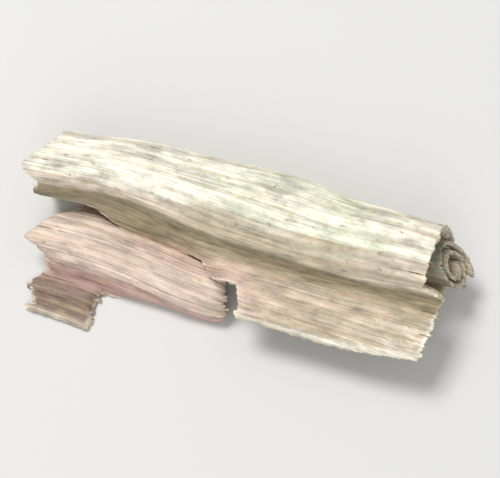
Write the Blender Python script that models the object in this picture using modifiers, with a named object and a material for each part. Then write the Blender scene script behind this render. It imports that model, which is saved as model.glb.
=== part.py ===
"""One cut piece of dried lemongrass stalk: three leaf sheaths, rolled one inside another.

Metres, +Z up, with +X along the stalk. The piece lies on the floor, z = 0, on the outer sheath's underside.
Each sheath is a sheet whose cross-section is a chain of arcs. The sheet is carried along the stalk, ribbed
along its veins, cut at its ends, torn back where a margin is gone, and given its thickness.
"""

import math
import random
from dataclasses import dataclass
from typing import Callable

import bmesh
import bpy
import numpy as np
from mathutils import Vector

MM = 0.001

# Driving dimensions, in millimetres
WALL = 0.6
GAP = 0.3
RIB_PITCH = 0.58
RIB_HEIGHT = 0.1
REST_CUT = 0.07
TUBE_SIDE_Y = 3.2
ROLL_RADIUS = 0.5
CUT_CENTRE = (1.4, 2.6)
SEED = 7

# Where the ends and the tears are along the stalk, in millimetres
TUBE_LEFT_X = -9.7
TUBE_RIGHT_X = 9.45
VALLEY_LEFT_X = -5.1
WING_LEFT_X = 0.05
FLAP_LEFT_X = -8.5
STRIP_RIGHT_X = -4.9
FLAP_RIGHT_X = -0.55
CRADLE_RIGHT_X = 8.7
ROLL_LEFT_X = -8.2
ROLL_RIGHT_X = 10.3

# How far each cut leans: millimetres along the stalk for each millimetre across and up
SQUARE = (0.0, 0.0)
LEFT_LEAN = (0.42, 0.1)
RIGHT_LEAN = (-0.12, -0.34)
FLAP_LEFT_LEAN = (-0.1, 0.1)
FLAP_RIGHT_LEAN = (-0.25, 0.0)
WING_LEFT_LEAN = (-0.3, 0.0)
WING_CORNER_CHIP = 0.9

# Cross-sections: a radius in millimetres and a turn in degrees for each arc, or a length and 0 for a straight
TUBE_HEADING = -85
TUBE_ARCS = (
    (0.95, 75),
    (2.9, 20),
    (0.95, 65),
    (3.0, 25),
    (0.9, 60),
    (2.9, 30),
    (0.7, 65),
    (0.3, 0),
)
TOE_ARC = 2
VALLEY_ARC = (0.65, -80)
WING_ARC = (3.5, 38)
CRADLE_TURN = -42
CRADLE_ARCS = (
    (TUBE_ARCS[TOE_ARC][0] + WALL + GAP, CRADLE_TURN),
    (TUBE_ARCS[TOE_ARC - 1][0] + WALL + GAP, -22),
)
FLAP_ARCS = (
    (1.5, -29),
    (1.35, 0),
    (1.6, 39),
    (1.42, 84),
)
FOLD_LENGTH = 0.7
CREASE_TURN = -85
CURL_TURN = 40
CREASE_ENDS_X = (-5.2, -3.6)
STRIP_LENGTH = 1.7
ROLL_HEADING = 230
ROLL_ARCS = ((ROLL_RADIUS * 1.05, 158), (ROLL_RADIUS * 0.95, 160))

# The whole piece's shape as it dried: how narrow and low its left end is, and how far it bows sideways
LEFT_NARROW = 0.87
LEFT_LOW = 0.95
TAPER_X = (-11.0, 1.0)
BOW = 0.12
BOW_LENGTH = 44.0

# Linear colours, with alpha
PALE_CREAM = (0.66, 0.64, 0.47, 1.0)
DUSTY_PINK = (0.55, 0.36, 0.32, 1.0)
TAN_GREY = (0.42, 0.36, 0.26, 1.0)


def arc_length(arc):
    """How long one arc or straight of a cross-section is, in millimetres."""
    size, turn = arc
    return size * abs(math.radians(turn)) if turn else size


def chain_length(arcs):
    """How long a chain of arcs is, in millimetres."""
    return sum(arc_length(arc) for arc in arcs)


def trace(arcs, heading, along):
    """Walks a chain of arcs, and gives y, z and the heading in radians at the distances in along."""
    y, z, turned = np.zeros_like(along), np.zeros_like(along), np.zeros_like(along)
    start, now = 0.0, math.radians(heading)
    for arc in arcs:
        length, turn = arc_length(arc), math.radians(arc[1])
        walked = np.clip(along - start, 0.0, length)
        if turn:
            bend = turn / length
            y += (np.sin(now + bend * walked) - math.sin(now)) / bend
            z += (math.cos(now) - np.cos(now + bend * walked)) / bend
            turned += bend * walked
        else:
            y += walked * math.cos(now)
            z += walked * math.sin(now)
        now += turn
        start += length
    return y, z, math.radians(heading) + turned


def smooth_step(value, low, high):
    """0 below low, 1 above high, and a smooth rise between."""
    t = min(max((value - low) / (high - low), 0.0), 1.0)
    return t * t * (3 - 2 * t)


def settle(x, y, z):
    """A point's y and z in the dried piece, which is narrower and lower to the left, and bowed a little."""
    right = smooth_step(x, *TAPER_X)
    narrow = LEFT_NARROW + (1 - LEFT_NARROW) * right
    low = LEFT_LOW + (1 - LEFT_LOW) * right
    bow = BOW * math.cos(2 * math.pi * x / BOW_LENGTH)
    return CUT_CENTRE[0] + (y - CUT_CENTRE[0]) * narrow + bow, WALL / 2 + (z - WALL / 2) * low


def jags(seed, columns, size):
    """Seeded steps at a cut or a tear, one for each rib, given for each column in millimetres."""
    draw = random.Random(seed)
    ribs = [draw.uniform(-size, size) for _ in range(columns // 2 + 1)]
    return [ribs[(column + 1) // 2 - (column == columns)] for column in range(columns + 1)]


def ragged(seed, rows):
    """Seeded steps of a column along a torn margin, one for each row."""
    draw = random.Random(seed)
    return [draw.choice((-1, 0, 0, 1)) for _ in range(rows)]


@dataclass
class Break:
    """A cut end or a tear across the veins: where it meets each column, and how far it leans."""

    x: float
    lean: tuple
    steps: list

    def at(self, column, y, z):
        """Where it crosses a column whose cross-section point is y, z."""
        leaning = self.lean[0] * (y - CUT_CENTRE[0]) + self.lean[1] * (z - CUT_CENTRE[1])
        return self.x + self.steps[column] + leaning


@dataclass
class Sheath:
    """One sheath: a grid whose columns follow the cross-section, and whose rows follow the stalk.

    rows counts the rows of each stretch between two breaks. section gives a column's y, z and heading at x,
    ribs says how strong its rib is, and torn gives the first column that is gone in a row.
    """

    name: str
    columns: int
    rows: tuple
    breaks: tuple
    section: Callable
    ribs: Callable
    torn: Callable

    def stretch_of(self, row):
        """Which stretch between two breaks a row line is in, and how far along it, from 0 to 1."""
        for stretch, count in enumerate(self.rows):
            if row <= count:
                return stretch, row / count
            row -= count
        raise ValueError("no such row")

    def point(self, column, row):
        """The middle of the wall where a column and a row cross, on its rib's crest or groove, in metres."""
        stretch, share = self.stretch_of(row)
        start, end = self.breaks[stretch], self.breaks[stretch + 1]
        y, z, heading = self.section(column, start.x + (end.x - start.x) * share)
        first, last = start.at(column, y, z), end.at(column, y, z)
        x = first + (last - first) * share
        crest = RIB_HEIGHT / 2 * self.ribs(column) * (1 if column % 2 else -1)
        y, z = settle(x, y + math.sin(heading) * crest, z - math.cos(heading) * crest)
        return x * MM, y * MM, z * MM

    def build(self, collection, material):
        """Makes the grid, tears it back, bends it to shape and gives the wall its thickness."""
        total = sum(self.rows)
        bm = bmesh.new()
        bmesh.ops.create_grid(bm, x_segments=self.columns, y_segments=total, size=1.0)
        gone = []
        for face in bm.faces:
            middle = face.calc_center_median()
            column = int((middle.x + 1) / 2 * self.columns)
            row = int((middle.y + 1) / 2 * total)
            if column >= self.torn(row):
                gone.append(face)
        bmesh.ops.delete(bm, geom=gone, context="FACES")
        for vert in bm.verts:
            column = round((vert.co.x + 1) / 2 * self.columns)
            row = round((vert.co.y + 1) / 2 * total)
            vert.co = self.point(column, row)
        mesh = bpy.data.meshes.new(self.name)
        bm.to_mesh(mesh)
        bm.free()
        mesh.materials.append(material)
        sheet = bpy.data.objects.new(self.name, mesh)
        collection.objects.link(sheet)
        wall = sheet.modifiers.new("wall", "SOLIDIFY")
        wall.thickness = WALL * MM
        wall.offset = 0.0
        wall.use_even_offset = True
        return sheet


def columns_for(length):
    """An even number of columns, two to a rib, for a cross-section of this length."""
    return 2 * round(length / RIB_PITCH)


def waved(y, z, heading, wave):
    """A cross-section's point moved outwards by wave, in millimetres."""
    return y + wave * math.sin(heading), z - wave * math.cos(heading), heading


def rolled_tube(along):
    """The middle sheath's cross-section: y, z and heading at the distances in along."""
    arcs = (*TUBE_ARCS, VALLEY_ARC, WING_ARC)
    tube_y, tube_z, _ = trace(arcs, TUBE_HEADING, np.linspace(0.0, chain_length(TUBE_ARCS), 400))
    y, z, heading = trace(arcs, TUBE_HEADING, along)
    y += TUBE_SIDE_Y - WALL / 2 - tube_y.max()
    z += 1.5 * WALL + GAP - REST_CUT - tube_z.min()
    return y, z, heading


def middle_sheath():
    """The tube, then the valley and the wing beside it. Its wing is torn off on the left along a vein."""
    tube, valley = chain_length(TUBE_ARCS), arc_length(VALLEY_ARC)
    whole = tube + valley + arc_length(WING_ARC)
    columns = columns_for(whole)
    side = round(tube / whole * columns)
    strip = round((tube + 0.9 * valley) / whole * columns)
    y, z, heading = rolled_tube(np.linspace(0.0, whole, columns + 1))
    rows = (6, 7, 10)
    steps = ragged(SEED, sum(rows))

    def section(column, x):
        wave = 0.05 * math.sin(0.9 * x + 0.35 * column)
        return waved(y[column], z[column], heading[column], wave)

    def torn(row):
        if row < rows[0]:
            return side + steps[row]
        if row < rows[0] + rows[1]:
            return strip + steps[row]
        return columns

    right_steps = [
        step - WING_CORNER_CHIP * smooth_step(column, strip + 3, columns)
        for column, step in enumerate(jags(SEED + 1, columns, 0.07))
    ]
    breaks = (
        Break(TUBE_LEFT_X, LEFT_LEAN, jags(SEED + 2, columns, 0.07)),
        Break(VALLEY_LEFT_X, SQUARE, jags(SEED + 3, columns, 0.15)),
        Break(WING_LEFT_X, WING_LEFT_LEAN, jags(SEED + 4, columns, 0.15)),
        Break(TUBE_RIGHT_X, RIGHT_LEAN, right_steps),
    )
    return Sheath("middle_sheath", columns, rows, breaks, section, lambda column: 1.0, torn)


def outer_sheath():
    """The cradle under the tube and the flap beside it. At the far left a strip goes on past a crease."""
    cradle = chain_length(CRADLE_ARCS)
    fold = cradle + chain_length(FLAP_ARCS)
    whole = fold + FOLD_LENGTH + STRIP_LENGTH
    columns = columns_for(whole)
    under = round(cradle / whole * columns) + 2
    crease = round(fold / whole * columns)
    margin = round((fold + FOLD_LENGTH) / whole * columns)
    rows = (5, 7, 10)
    steps = ragged(SEED + 10, sum(rows))
    toe = np.array([chain_length(TUBE_ARCS[:TOE_ARC])])
    toe_y, toe_z, toe_heading = (float(value[0]) for value in rolled_tube(toe))
    start = math.degrees(toe_heading) + 180 - CRADLE_TURN
    along = np.append(np.linspace(0.0, whole, columns + 1), arc_length(CRADLE_ARCS[0]))

    def profile(x):
        """The cross-section at x, set so that the cradle lies parallel to the tube's underside."""
        turn = CREASE_TURN + (CURL_TURN - CREASE_TURN) * smooth_step(x, *CREASE_ENDS_X)
        folded = (FOLD_LENGTH / abs(math.radians(turn)), turn)
        arcs = (*CRADLE_ARCS, *FLAP_ARCS, folded, (STRIP_LENGTH, 0))
        y, z, heading = trace(arcs, start, along)
        y += toe_y + (WALL + GAP) * math.sin(toe_heading) - y[-1]
        z += toe_z - (WALL + GAP) * math.cos(toe_heading) - z[-1]
        return y, z, heading

    def section(column, x):
        y, z, heading = profile(x)
        wave = 0.04 * math.sin(0.8 * x + 0.4 * column) * smooth_step(column, under, under + 4)
        return waved(y[column], z[column], heading[column], wave)

    def torn(row):
        if row < rows[0]:
            return columns
        if row < rows[0] + rows[1]:
            return margin + min(steps[row], 0)
        return under + steps[row]

    def ribs(column):
        """Ribs on the two margins and the flap, and none where the cradle rests or at the crease."""
        resting = smooth_step(column, 1, 4) - smooth_step(column, under + 1, under + 4)
        folding = smooth_step(column, crease - 2, crease) - smooth_step(column, margin, margin + 2)
        return 1.0 - resting - folding

    breaks = (
        Break(FLAP_LEFT_X, FLAP_LEFT_LEAN, jags(SEED + 11, columns, 0.25)),
        Break(STRIP_RIGHT_X, SQUARE, jags(SEED + 12, columns, 0.12)),
        Break(FLAP_RIGHT_X, FLAP_RIGHT_LEAN, jags(SEED + 13, columns, 0.12)),
        Break(CRADLE_RIGHT_X, RIGHT_LEAN, jags(SEED + 14, columns, 0.1)),
    )
    return Sheath("outer_sheath", columns, rows, breaks, section, ribs, torn)


def inner_sheath():
    """The small roll inside the tube: nearly a whole turn, open by a slit along its upper side."""
    whole = chain_length(ROLL_ARCS)
    columns, rows = 14, (20,)
    y, z, heading = trace(ROLL_ARCS, ROLL_HEADING, np.linspace(0.0, whole, columns + 1))
    _, tube_z, _ = rolled_tube(np.array([chain_length(TUBE_ARCS[:TOE_ARC])]))
    y += CUT_CENTRE[0] - (y.max() + y.min()) / 2
    z += float(tube_z[0]) + WALL + GAP - z.min()

    breaks = (
        Break(ROLL_LEFT_X, LEFT_LEAN, jags(SEED + 21, columns, 0.08)),
        Break(ROLL_RIGHT_X, RIGHT_LEAN, jags(SEED + 22, columns, 0.08)),
    )
    return Sheath(
        "inner_sheath",
        columns,
        rows,
        breaks,
        section=lambda column, x: (y[column], z[column], heading[column]),
        ribs=lambda column: 0.5,
        torn=lambda row: columns,
    )


def dried_leaf(name, colour):
    """Dry leaf: matt, with a faint sheen."""
    material = bpy.data.materials.new(name)
    material.use_nodes = True
    shader = material.node_tree.nodes["Principled BSDF"]
    shader.inputs["Base Color"].default_value = colour
    shader.inputs["Roughness"].default_value = 0.62
    shader.inputs["Metallic"].default_value = 0.0
    return material


def flatten_underside(sheet, cutters):
    """Planes off what is below the floor, so that the sheath lies on flat spots."""
    bpy.ops.mesh.primitive_cube_add(size=1.0, location=(0, 0, -2.5 * MM))
    block = bpy.context.object
    block.name = "below_floor"
    block.scale = (30 * MM, 20 * MM, 5 * MM)
    block.hide_render = True
    block.display_type = "WIRE"
    for held in block.users_collection:
        held.objects.unlink(block)
    cutters.objects.link(block)
    cut = sheet.modifiers.new("floor", "BOOLEAN")
    cut.operation = "DIFFERENCE"
    cut.solver = "EXACT"
    cut.object = block


def centre_on_origin(sheets):
    """Moves the sheaths together so that the middle of their box stands over the origin."""
    graph = bpy.context.evaluated_depsgraph_get()
    corners = [Vector(corner) for sheet in sheets for corner in sheet.evaluated_get(graph).bound_box]
    middle = [(min(c[i] for c in corners) + max(c[i] for c in corners)) / 2 for i in range(2)]
    for sheet in sheets:
        sheet.location = (-middle[0], -middle[1], 0.0)


def new_collection(name):
    """An empty collection in the scene."""
    collection = bpy.data.collections.new(name)
    bpy.context.scene.collection.children.link(collection)
    return collection


def main():
    """Clears the scene, builds the three sheaths and stands them on the origin."""
    for old in list(bpy.data.objects):
        bpy.data.objects.remove(old)
    stalk = new_collection("lemongrass_stalk_piece")
    cutters = new_collection("cutters")
    outer = outer_sheath().build(stalk, dried_leaf("outer_pink", DUSTY_PINK))
    middle = middle_sheath().build(stalk, dried_leaf("middle_cream", PALE_CREAM))
    inner = inner_sheath().build(stalk, dried_leaf("inner_tan", TAN_GREY))
    flatten_underside(outer, cutters)
    centre_on_origin((outer, middle, inner))


main()
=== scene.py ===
"""Looks of one cut piece of dried lemongrass stalk: three leaf sheaths, rolled one inside another.

Shapes are worked out in millimetres and become metres in the mesh. +X is along the stalk and +Z is up. A
sheath is a sheet whose cross-section is a chain of arcs. Its points lie on a grid: each column follows the
veins, at a distance v across the sheet, and each row crosses them. Ribs, cuts and tears are formulas on it.
"""

import logging
import math
from dataclasses import dataclass, replace
from enum import Enum
from typing import Optional, Sequence, Union

import bpy
import numpy as np
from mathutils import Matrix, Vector


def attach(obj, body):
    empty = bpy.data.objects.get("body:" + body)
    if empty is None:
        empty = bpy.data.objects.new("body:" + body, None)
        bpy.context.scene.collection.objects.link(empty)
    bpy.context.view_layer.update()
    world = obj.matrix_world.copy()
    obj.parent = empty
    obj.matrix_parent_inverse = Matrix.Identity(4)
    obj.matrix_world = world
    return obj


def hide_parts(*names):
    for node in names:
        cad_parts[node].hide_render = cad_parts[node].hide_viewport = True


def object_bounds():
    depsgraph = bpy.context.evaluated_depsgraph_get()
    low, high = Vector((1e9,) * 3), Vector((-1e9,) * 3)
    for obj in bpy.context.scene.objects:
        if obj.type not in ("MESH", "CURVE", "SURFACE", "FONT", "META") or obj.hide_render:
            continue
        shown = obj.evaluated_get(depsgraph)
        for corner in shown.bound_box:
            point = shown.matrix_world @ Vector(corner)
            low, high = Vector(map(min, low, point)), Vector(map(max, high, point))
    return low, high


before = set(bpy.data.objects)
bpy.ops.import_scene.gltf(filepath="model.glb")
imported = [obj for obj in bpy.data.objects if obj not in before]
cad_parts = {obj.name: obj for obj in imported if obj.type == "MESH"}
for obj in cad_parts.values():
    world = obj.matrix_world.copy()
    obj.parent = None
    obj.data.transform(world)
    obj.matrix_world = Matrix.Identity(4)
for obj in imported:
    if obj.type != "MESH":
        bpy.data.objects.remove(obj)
CAD_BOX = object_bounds()

LOG = logging.getLogger("lemongrass")
MM = 0.001
BODY = "root"

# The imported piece's own sizes, in millimetres
CAD_WALL = 0.6
CAD_GAP = 0.3
RIB_PITCH = 0.58
REST_CUT = 0.07
TUBE_SIDE_Y = 3.2
CUT_CENTRE = (1.4, 2.6)
CENTRING = (-0.1382, 0.7362)

# How far the tube and the roll come down, so that dry leaf touches dry leaf
SETTLED = 0.2

# What one fibre is across, which is the step of every cut and tear
FIBRE = 0.12

# A tear: how long its wandering is, its step for each pair of fibres, and its rare long fibres
WANDERING = 0.66
PAIR_STEP = 0.35
LONG_FIBRE = 1.6
LONG_POWER = 7

# How many draws a seeded table holds, and a length that keeps a division by nothing away
DRAWN = 997
TINY = 1e-9

# A direction that hardly any loose fibre runs in, and how far the fibres' seed is from their sheath's
SLANTING = (0.0, 0.31, 0.95)
THREAD_SEED = 90

Array = np.ndarray
Field = Union[np.ndarray, float]
Span = tuple[float, float]
Triple = tuple[float, float, float]
Colour = Triple
Bend = tuple[float, Field]


class Slot(Enum):
    """Slot names, one for each sheath, which each sheath keeps."""

    OUTER = "outer_leaf"
    MIDDLE = "middle_leaf"
    INNER = "inner_leaf"


class Face(Enum):
    """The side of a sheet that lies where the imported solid's face lies."""

    FRONT = 1
    BACK = -1


def rise(value: Array, low: float, high: float) -> Array:
    """A smooth step from 0 at low to 1 at high: t * t * (3 - 2t), where t is the share of the way."""
    t = np.clip((value - low) / (high - low), 0.0, 1.0)
    return t * t * (3 - 2 * t)


def draws(seed: int, size: float) -> Array:
    """A seeded table of evenly spread numbers from -size to size."""
    return np.random.default_rng(seed).uniform(-size, size, DRAWN)


def jumps(seed: int, place: Array, width: float, size: float) -> Array:
    """Seeded steps of one width, from -size to size: the draw numbered by place / width, rounded down."""
    return draws(seed, size)[np.floor(place / width).astype(int) % DRAWN]


def drift(seed: int, place: Array, width: float, size: float) -> Array:
    """Seeded wandering: draws a width apart, joined by smooth rises.

    Args:
        seed: The seed.
        place: Where to read it, in millimetres.
        width: How far apart the draws are.
        size: The furthest that it wanders from 0.

    Returns:
        The wandering at each place.
    """
    cell = np.floor(place / width).astype(int)
    share = rise(place / width - cell, 0.0, 1.0)
    drawn = draws(seed, size)
    return drawn[cell % DRAWN] * (1 - share) + drawn[(cell + 1) % DRAWN] * share


def frayed(seed: int, v: Array, size: float) -> Array:
    """What a tear leaves of each fibre: a wandering, a step for each pair of fibres, and a few long ones.

    The long ones are draws to a high odd power, which leaves most of them near 0.

    Args:
        seed: The seed.
        v: Distances across the sheet.
        size: About how far the tear strays, in millimetres.

    Returns:
        How far along the stalk each fibre's end is moved.
    """
    wandering = drift(seed, v, WANDERING, size)
    pairs = jumps(seed + 1, v, 2 * FIBRE, PAIR_STEP * size)
    return wandering + pairs + LONG_FIBRE * size * jumps(seed + 2, v, FIBRE, 1.0) ** LONG_POWER


def swell(seed: int, x: Array, v: Array, long: float, wide: float, size: float) -> Array:
    """Seeded low waves over a sheet: the sum of ten sines of drawn slants, whose highest is about four.

    Args:
        seed: The seed.
        x: Places along the stalk.
        v: Places across the sheet.
        long: About how long a wave is along the stalk.
        wide: About how wide it is across the sheet.
        size: About how high it is.

    Returns:
        The height at each place.
    """
    rng = np.random.default_rng(seed)
    total = np.zeros(np.broadcast(x, v).shape)
    sines, highest = 10, 4
    slants, slopes = rng.normal(0, 1 / long, sines), rng.normal(0, 1 / wide, sines)
    starts = rng.uniform(0, 1, sines)
    for slant, slope, start in zip(slants, slopes, starts):
        total += np.sin(2 * np.pi * (slant * x + slope * v + start))
    return total * size / highest


@dataclass(frozen=True)
class Arc:
    """One bend of a cross-section: a radius in millimetres and a turn in degrees, or a length and no turn."""

    size: float
    turn: float = 0.0

    @property
    def length(self) -> float:
        """How far it is along the bend, in millimetres."""
        return self.size * abs(math.radians(self.turn)) if self.turn else self.size

    @property
    def bend(self) -> Bend:
        """Its length, and its turn in radians."""
        return self.length, math.radians(self.turn)


@dataclass
class Section:
    """Points of a cross-section in millimetres, and which way the sheet runs there, in radians."""

    y: Array
    z: Array
    heading: Array

    def out(self, distance: Field) -> "Section":
        """The section moved square to the sheet, to the right of the way that it runs."""
        y = self.y + distance * np.sin(self.heading)
        z = self.z - distance * np.cos(self.heading)
        return Section(y, z, self.heading)

    def shifted(self, y: float, z: float) -> "Section":
        """The section moved across and up."""
        return Section(self.y + y, self.z + z, self.heading)


def walk(bends: Sequence[Bend], heading: float, v: Array) -> Section:
    """Follows a chain of bends.

    Over a distance w of a bend of length L and turn T, the sheet turns by T * w / L, and moves by the chord
    w * sinc(half of that turn) in the direction half way through it.

    Args:
        bends: The bends in order.
        heading: Which way the chain starts, in radians.
        v: The distances to read it at.

    Returns:
        The section at those distances.
    """
    y, z, now = np.zeros_like(v), np.zeros_like(v), np.full_like(v, heading)
    start = 0.0
    for length, turn in bends:
        walked = np.clip(v - start, 0.0, length)
        half = turn * walked / length / 2
        chord = walked * np.sinc(half / np.pi)
        y = y + chord * np.cos(now + half)
        z = z + chord * np.sin(now + half)
        now = now + 2 * half
        start += length
    return Section(y, z, now)


@dataclass(frozen=True)
class Drying:
    """How a sheath shrank: smaller to the left, bulging beside the wing, and bent aside at its left end.

    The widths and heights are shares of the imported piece's, at the left and at the right.
    """

    left_width: float = 0.87
    left_height: float = 0.95
    right_height: float = 1.045
    taper: Span = (-11.0, 1.0)
    bulge: float = -0.45
    bulge_at: float = 1.5
    bulge_length: float = 17.0
    bulge_from: Span = (-2.6, 0.0)
    bulge_to: Span = (0.3, 2.8)
    far_bulge: float = 0.12
    far_from: Span = (1.5, 3.0)
    droop: float = 0.45
    droop_from: float = -3.0
    droop_length: float = 6.5

    def settle(self, x: Array, y: Array, z: Array) -> tuple[Array, Array]:
        """Scales y about the cut's centre and z about the resting wall, then moves y by bulge and droop.

        The bulge is one wave of a cosine along the stalk. It is full at the tube's near side, fades out over
        the wing and the tube, and is small on the far side. The droop is the square of how far x is left of
        its start.

        Args:
            x: Places along the stalk.
            y: Places across it.
            z: Heights.

        Returns:
            The dried y and z.
        """
        right = rise(x, *self.taper)
        width = self.left_width + (1 - self.left_width) * right
        height = self.left_height + (self.right_height - self.left_height) * right
        away = np.minimum(np.abs(x - self.bulge_at) / self.bulge_length, 0.5)
        beside = rise(y, *self.bulge_from) * (1 - rise(y, *self.bulge_to))
        bulge = self.bulge * beside + self.far_bulge * rise(y, *self.far_from)
        bulge = bulge * (0.5 + 0.5 * np.cos(2 * np.pi * away))
        droop = self.droop * np.maximum((self.droop_from - x) / self.droop_length, 0.0) ** 2
        rest = CAD_WALL / 2
        return CUT_CENTRE[0] + (y - CUT_CENTRE[0]) * width + bulge - droop, rest + (z - rest) * height


@dataclass(frozen=True)
class Cut:
    """A cut end or a tear across the veins: it leans, wanders, and leaves every fibre its own length."""

    x: float
    lean: Span
    seed: int
    stray: float = 0.07

    def at(self, v: Array, y: Array, z: Array) -> Array:
        """Where it crosses each column: x, plus lean times the way from the cut's centre, plus the fray."""
        leaning = self.lean[0] * (y - CUT_CENTRE[0]) + self.lean[1] * (z - CUT_CENTRE[1])
        return self.x + leaning + frayed(self.seed, v, self.stray)


@dataclass(frozen=True)
class Slits:
    """Splits along the veins, in from a cut end, and the tongues between them, which part a little."""

    seed: int
    every: float
    deep: Span
    lift: float = 0.07
    margin_deep: float = 0.3
    strays: Span = (0.2, 0.8)

    def places(self, width: float) -> tuple[Array, Array]:
        """Where the splits are and how deep they run.

        Args:
            width: How wide the sheet is.

        Returns:
            The splits' distances across the sheet, on fibres' borders, and their depths.
        """
        count = max(int(width / self.every), 1)
        rng = np.random.default_rng(self.seed)
        spots = (np.arange(count) + rng.uniform(*self.strays, count)) * width / count
        return np.round(spots / FIBRE) * FIBRE, rng.uniform(*self.deep, count)

    def parting(self, width: float, v: Array, inwards: Array) -> Array:
        """How far each tongue stands out: its own draw, times the square of what is left of its depth.

        Args:
            width: How wide the sheet is.
            v: Distances across the sheet.
            inwards: Distances in from the cut end.

        Returns:
            The distances square to the sheet.
        """
        spots, depths = self.places(width)
        tongue = np.searchsorted(spots, v)
        before, after = np.insert(depths, 0, self.margin_deep), np.append(depths, self.margin_deep)
        shallow = np.minimum(after, before)[tongue]
        drawn = draws(self.seed + 1, self.lift)[tongue]
        return drawn * np.clip(1 - inwards / shallow, 0.0, 1.0) ** 2

    def open(self, width: float, v: Array, inwards: Array, half: float) -> Array:
        """Which faces a split takes away: those within half a column of one, down to its depth.

        Args:
            width: How wide the sheet is.
            v: Distances across the sheet.
            inwards: Distances in from the cut end.
            half: Half a column's width.

        Returns:
            True for each face that goes.
        """
        spots, depths = self.places(width)
        near = np.abs(v[..., None] - spots) < half
        return (near & (inwards[..., None] < depths)).any(axis=-1)


@dataclass
class Sheet:
    """The two faces of a wall on one grid, which of its quads are kept, and what the finish reads."""

    front: Array
    back: Array
    kept: Array
    grain: Array
    marks: Array
    seed: int
    rounding: float = 0.03
    roughness: float = 0.02
    levels: tuple[float, ...] = (0.14, 0.38, 0.62, 0.86)
    crease: float = 46.0
    mends: int = 6

    def mended(self) -> Array:
        """Fills a quad where two met only at a corner, so that the mesh stays closed.

        Returns:
            True for each quad that is kept.
        """
        kept = self.kept.copy()
        for _ in range(self.mends):
            a, b, c, d = kept[:-1, :-1], kept[:-1, 1:], kept[1:, :-1], kept[1:, 1:]
            falling, rising = a & d & ~b & ~c, b & c & ~a & ~d
            kept[1:, :-1] |= falling
            kept[1:, 1:] |= rising
        return kept

    def rim(self) -> tuple[Array, Array]:
        """Where the sheet's border runs.

        Returns:
            The middle of the wall at each border point, and the direction out of the sheet there.
        """
        kept = self.mended()
        index = np.arange(self.front[..., 0].size).reshape(self.front.shape[:2])
        starts, ends = self.border(kept, index)
        front, back = self.front.reshape(-1, 3), self.back.reshape(-1, 3)
        outwards = np.cross(front[ends] - front[starts], front[starts] - back[starts])
        outwards /= np.linalg.norm(outwards, axis=1, keepdims=True) + TINY
        return (front[starts] + back[starts]) / 2, outwards

    def border(self, kept: Array, index: Array) -> tuple[Array, Array]:
        """The border's edges in the order of the front face's quads.

        Args:
            kept: Which quads are kept.
            index: The front face's vertex number at each grid point.

        Returns:
            The vertex that each border edge starts at, and the one that it ends at.
        """
        ringed = np.pad(kept, 1)
        sides = (
            (kept & ~ringed[:-2, 1:-1], index[:-1, :-1], index[:-1, 1:]),
            (kept & ~ringed[1:-1, 2:], index[:-1, 1:], index[1:, 1:]),
            (kept & ~ringed[2:, 1:-1], index[1:, 1:], index[1:, :-1]),
            (kept & ~ringed[1:-1, :-2], index[1:, :-1], index[:-1, :-1]),
        )
        starts = np.concatenate([first[open_side] for open_side, first, _ in sides])
        ends = np.concatenate([last[open_side] for open_side, _, last in sides])
        return starts, ends

    def mesh(self, name: str) -> bpy.types.Mesh:
        """Makes one closed mesh: the front face, the back face, and a rounded, rough rim all round.

        The rim has a ring of points for each level across the wall. A point lies between the two faces, moved
        out by rounding * sin(pi * level) and by a seeded draw. Nothing goes below the floor.

        Args:
            name: The mesh's name.

        Returns:
            The mesh, with its grain and marks as attributes.
        """
        kept = self.mended()
        used = np.pad(kept, 1)
        used = used[:-1, :-1] | used[1:, :-1] | used[:-1, 1:] | used[1:, 1:]
        count = int(used.sum())
        index = np.cumsum(used.ravel()).reshape(used.shape) - 1
        corners = np.stack([index[:-1, :-1], index[:-1, 1:], index[1:, 1:], index[1:, :-1]], axis=-1)[kept]
        front, back = self.front[used], self.back[used]
        starts, ends = self.border(kept, index)
        order = np.unique(starts)
        ring = np.full(count, -1)
        ring[order] = np.arange(len(order))
        after, before = np.zeros((len(order), 3)), np.zeros((len(order), 3))
        after[ring[starts]] = front[ends]
        before[ring[ends]] = front[starts]
        outwards = np.cross(after - before, front[order] - back[order])
        outwards /= np.linalg.norm(outwards, axis=1, keepdims=True) + TINY
        shape = len(self.levels), len(order), 1
        rough = np.random.default_rng(self.seed).normal(0.0, self.roughness, shape)
        rims = [
            front[order] * (1 - level)
            + back[order] * level
            + outwards * (self.rounding * math.sin(math.pi * level) + rough[number])
            for number, level in enumerate(self.levels)
        ]
        points = np.concatenate([front, back, *rims])
        points[:, 2] = np.maximum(points[:, 2], 0.0)
        rings = [np.arange(count), *(2 * count + i * len(order) + ring for i in range(len(self.levels)))]
        rings.append(np.arange(count) + count)
        walls = [
            np.stack([above[ends], above[starts], below[starts], below[ends]], axis=1)
            for above, below in zip(rings, rings[1:])
        ]
        quads = np.concatenate([corners, corners[:, ::-1] + count, *walls])
        mesh = bpy.data.meshes.new(name)
        mesh.from_pydata(points * MM, [], quads.tolist())
        grain = np.concatenate([self.grain[used]] * 2 + [self.grain[used][order]] * len(self.levels))
        marks = self.marks[used]
        behind = marks * (1, 1, 0) + (0, 0, 1)
        rim = marks[order] * (0, 1, 0) + (1, 0, 0)
        write_attribute(mesh, "grain", grain)
        write_attribute(mesh, "marks", np.concatenate([marks, behind] + [rim] * len(self.levels)))
        mesh.shade_smooth()
        mesh.set_sharp_from_angle(angle=math.radians(self.crease))
        return mesh


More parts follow.
